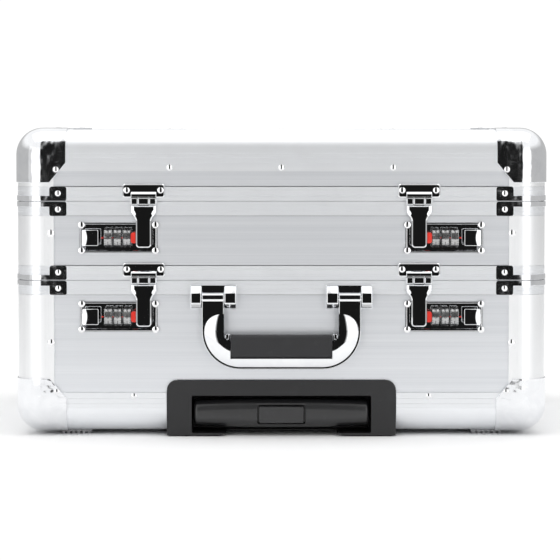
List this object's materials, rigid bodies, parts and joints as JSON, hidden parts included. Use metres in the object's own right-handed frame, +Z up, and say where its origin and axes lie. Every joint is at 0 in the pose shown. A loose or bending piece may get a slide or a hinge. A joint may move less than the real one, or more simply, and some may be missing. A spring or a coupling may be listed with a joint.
{
  "type": "wheeled aluminium attache case",
  "caption": "Wheeled hard case with base, middle tray and lid on rear hinges, combination latches, drop carry handle and telescopic pull handle.",
  "frame": {"origin": "centre of the object's box at floor level, with the case lying on its feet and wheels", "axes": "+X along the long side, -Y towards the side with locks and handles, +Z up from base to lid"},
  "size_m": [0.4606, 0.3956, 0.2668],
  "materials": {
    "brushed_aluminium": "fine horizontal brushing, satin",
    "aluminium_extrusion": "anodised satin with fine extruded ribs",
    "chrome": "mirror polished",
    "polished_steel": "bright satin",
    "black_plastic": "fine-grained satin",
    "grip_plastic": "fine-grained satin, charcoal",
    "dial_metal": "satin plated with dark numerals",
    "red_plastic": "gloss",
    "foot_plastic": "matt light grey",
    "wheel_rubber": "matt tread",
    "lining_fabric": "black flocked textile"
  },
  "bodies": {
    "base": {"base_shell": "brushed_aluminium", "base_frame": "aluminium_extrusion", "base_corner_left": "chrome", "base_foot_left": "foot_plastic", "handle_bracket_left": "chrome", "wheel_housing_left": "black_plastic", "base_corner_right": "chrome", "base_foot_right": "foot_plastic", "handle_bracket_right": "chrome", "wheel_housing_right": "black_plastic", "trolley_housing": "black_plastic", "trolley_outer_tubes": "polished_steel", "base_left_lock_case": "chrome", "base_right_lock_case": "chrome"},
    "tray": {"tray_shell": "brushed_aluminium", "tray_frame": "aluminium_extrusion", "tray_left_lock_case": "chrome", "tray_right_lock_case": "chrome", "tray_left_hasp_plate": "chrome", "tray_right_hasp_plate": "chrome"},
    "lid": {"lid_shell": "brushed_aluminium", "lid_frame": "aluminium_extrusion", "lid_corner_front_left": "chrome", "lid_corner_back_left": "chrome", "lid_corner_front_right": "chrome", "lid_corner_back_right": "chrome", "lid_left_hasp_plate": "chrome", "lid_right_hasp_plate": "chrome"},
    "base_left_dial_1": {"base_left_dial_1": "dial_metal"},
    "base_left_dial_2": {"base_left_dial_2": "dial_metal"},
    "base_left_dial_3": {"base_left_dial_3": "dial_metal"},
    "base_left_lock_button": {"base_left_lock_button": "chrome"},
    "base_left_reset_slider": {"base_left_reset_slider": "red_plastic"},
    "base_right_dial_1": {"base_right_dial_1": "dial_metal"},
    "base_right_dial_2": {"base_right_dial_2": "dial_metal"},
    "base_right_dial_3": {"base_right_dial_3": "dial_metal"},
    "base_right_lock_button": {"base_right_lock_button": "chrome"},
    "base_right_reset_slider": {"base_right_reset_slider": "red_plastic"},
    "tray_left_dial_1": {"tray_left_dial_1": "dial_metal"},
    "tray_left_dial_2": {"tray_left_dial_2": "dial_metal"},
    "tray_left_dial_3": {"tray_left_dial_3": "dial_metal"},
    "tray_left_lock_button": {"tray_left_lock_button": "chrome"},
    "tray_left_reset_slider": {"tray_left_reset_slider": "red_plastic"},
    "tray_right_dial_1": {"tray_right_dial_1": "dial_metal"},
    "tray_right_dial_2": {"tray_right_dial_2": "dial_metal"},
    "tray_right_dial_3": {"tray_right_dial_3": "dial_metal"},
    "tray_right_lock_button": {"tray_right_lock_button": "chrome"},
    "tray_right_reset_slider": {"tray_right_reset_slider": "red_plastic"},
    "tray_left_hasp": {"tray_left_hasp": "chrome"},
    "tray_right_hasp": {"tray_right_hasp": "chrome"},
    "lid_left_hasp": {"lid_left_hasp": "chrome"},
    "lid_right_hasp": {"lid_right_hasp": "chrome"},
    "carry_handle": {"carry_handle": "chrome", "carry_grip": "grip_plastic"},
    "trolley_middle": {"trolley_middle_tubes": "polished_steel"},
    "trolley_inner": {"trolley_inner_tubes": "polished_steel", "trolley_grip": "black_plastic"},
    "trolley_button": {"trolley_button": "black_plastic"},
    "wheel_left": {"wheel_left": "wheel_rubber"},
    "wheel_right": {"wheel_right": "wheel_rubber"}
  },
  "joints": [
    {"name": "tray_hinge", "type": "hinge", "parent": "base", "child": "tray", "pos_m": [0, 0.17635, 0.1352], "axis": [-1, 0, 0], "range_deg": [0, 95]},
    {"name": "lid_hinge", "type": "hinge", "parent": "tray", "child": "lid", "pos_m": [0, 0.17635, 0.2034], "axis": [-1, 0, 0], "range_deg": [0, 95]},
    {"name": "base_left_dial_1_spin", "type": "hinge", "parent": "base", "child": "base_left_dial_1", "pos_m": [-0.1496, -0.17725, 0.1038], "axis": [1, 0, 0], "continuous": true},
    {"name": "base_left_dial_2_spin", "type": "hinge", "parent": "base", "child": "base_left_dial_2", "pos_m": [-0.1414, -0.17725, 0.1038], "axis": [1, 0, 0], "continuous": true},
    {"name": "base_left_dial_3_spin", "type": "hinge", "parent": "base", "child": "base_left_dial_3", "pos_m": [-0.1332, -0.17725, 0.1038], "axis": [1, 0, 0], "continuous": true},
    {"name": "base_left_lock_button_slide", "type": "slide", "parent": "base", "child": "base_left_lock_button", "axis": [-1, 0, 0], "range_m": [0, 0.003], "stiffness_N_per_m": 200, "springref_m": -0.002},
    {"name": "base_left_reset_slider_slide", "type": "slide", "parent": "base", "child": "base_left_reset_slider", "axis": [0, 0, 1], "range_m": [0, 0.002]},
    {"name": "base_right_dial_1_spin", "type": "hinge", "parent": "base", "child": "base_right_dial_1", "pos_m": [0.1496, -0.17725, 0.1038], "axis": [1, 0, 0], "continuous": true},
    {"name": "base_right_dial_2_spin", "type": "hinge", "parent": "base", "child": "base_right_dial_2", "pos_m": [0.1414, -0.17725, 0.1038], "axis": [1, 0, 0], "continuous": true},
    {"name": "base_right_dial_3_spin", "type": "hinge", "parent": "base", "child": "base_right_dial_3", "pos_m": [0.1332, -0.17725, 0.1038], "axis": [1, 0, 0], "continuous": true},
    {"name": "base_right_lock_button_slide", "type": "slide", "parent": "base", "child": "base_right_lock_button", "axis": [1, 0, 0], "range_m": [0, 0.003], "stiffness_N_per_m": 200, "springref_m": -0.002},
    {"name": "base_right_reset_slider_slide", "type": "slide", "parent": "base", "child": "base_right_reset_slider", "axis": [0, 0, 1], "range_m": [0, 0.002]},
    {"name": "tray_left_dial_1_spin", "type": "hinge", "parent": "tray", "child": "tray_left_dial_1", "pos_m": [-0.1496, -0.17725, 0.172], "axis": [1, 0, 0], "continuous": true},
    {"name": "tray_left_dial_2_spin", "type": "hinge", "parent": "tray", "child": "tray_left_dial_2", "pos_m": [-0.1414, -0.17725, 0.172], "axis": [1, 0, 0], "continuous": true},
    {"name": "tray_left_dial_3_spin", "type": "hinge", "parent": "tray", "child": "tray_left_dial_3", "pos_m": [-0.1332, -0.17725, 0.172], "axis": [1, 0, 0], "continuous": true},
    {"name": "tray_left_lock_button_slide", "type": "slide", "parent": "tray", "child": "tray_left_lock_button", "axis": [-1, 0, 0], "range_m": [0, 0.003], "stiffness_N_per_m": 200, "springref_m": -0.002},
    {"name": "tray_left_reset_slider_slide", "type": "slide", "parent": "tray", "child": "tray_left_reset_slider", "axis": [0, 0, 1], "range_m": [0, 0.002]},
    {"name": "tray_right_dial_1_spin", "type": "hinge", "parent": "tray", "child": "tray_right_dial_1", "pos_m": [0.1496, -0.17725, 0.172], "axis": [1, 0, 0], "continuous": true},
    {"name": "tray_right_dial_2_spin", "type": "hinge", "parent": "tray", "child": "tray_right_dial_2", "pos_m": [0.1414, -0.17725, 0.172], "axis": [1, 0, 0], "continuous": true},
    {"name": "tray_right_dial_3_spin", "type": "hinge", "parent": "tray", "child": "tray_right_dial_3", "pos_m": [0.1332, -0.17725, 0.172], "axis": [1, 0, 0], "continuous": true},
    {"name": "tray_right_lock_button_slide", "type": "slide", "parent": "tray", "child": "tray_right_lock_button", "axis": [1, 0, 0], "range_m": [0, 0.003], "stiffness_N_per_m": 200, "springref_m": -0.002},
    {"name": "tray_right_reset_slider_slide", "type": "slide", "parent": "tray", "child": "tray_right_reset_slider", "axis": [0, 0, 1], "range_m": [0, 0.002]},
    {"name": "tray_left_hasp_hinge", "type": "hinge", "parent": "tray", "child": "tray_left_hasp", "pos_m": [-0.1187, -0.18545, 0.1352], "axis": [-1, 0, 0], "range_deg": [0, 110]},
    {"name": "tray_right_hasp_hinge", "type": "hinge", "parent": "tray", "child": "tray_right_hasp", "pos_m": [0.1187, -0.18545, 0.1352], "axis": [-1, 0, 0], "range_deg": [0, 110]},
    {"name": "lid_left_hasp_hinge", "type": "hinge", "parent": "lid", "child": "lid_left_hasp", "pos_m": [-0.1187, -0.18545, 0.2034], "axis": [-1, 0, 0], "range_deg": [0, 110]},
    {"name": "lid_right_hasp_hinge", "type": "hinge", "parent": "lid", "child": "lid_right_hasp", "pos_m": [0.1187, -0.18545, 0.2034], "axis": [-1, 0, 0], "range_deg": [0, 110]},
    {"name": "carry_handle_hinge", "type": "hinge", "parent": "base", "child": "carry_handle", "pos_m": [0, -0.19025, 0.12], "axis": [-1, 0, 0], "range_deg": [0, 95]},
    {"name": "trolley_middle_slide", "type": "slide", "parent": "base", "child": "trolley_middle", "axis": [0, -1, 0], "range_m": [0, 0.25]},
    {"name": "trolley_inner_slide", "type": "slide", "parent": "trolley_middle", "child": "trolley_inner", "axis": [0, -1, 0], "range_m": [0, 0.25]},
    {"name": "trolley_button_press", "type": "slide", "parent": "trolley_inner", "child": "trolley_button", "axis": [0, 1, 0], "range_m": [0, 0.004], "stiffness_N_per_m": 400, "springref_m": -0.002},
    {"name": "wheel_left_spin", "type": "hinge", "parent": "base", "child": "wheel_left", "pos_m": [-0.215, 0.17275, 0.025], "axis": [1, 0, 0], "continuous": true},
    {"name": "wheel_right_spin", "type": "hinge", "parent": "base", "child": "wheel_right", "pos_m": [0.215, 0.17275, 0.025], "axis": [1, 0, 0], "continuous": true}
  ]
}
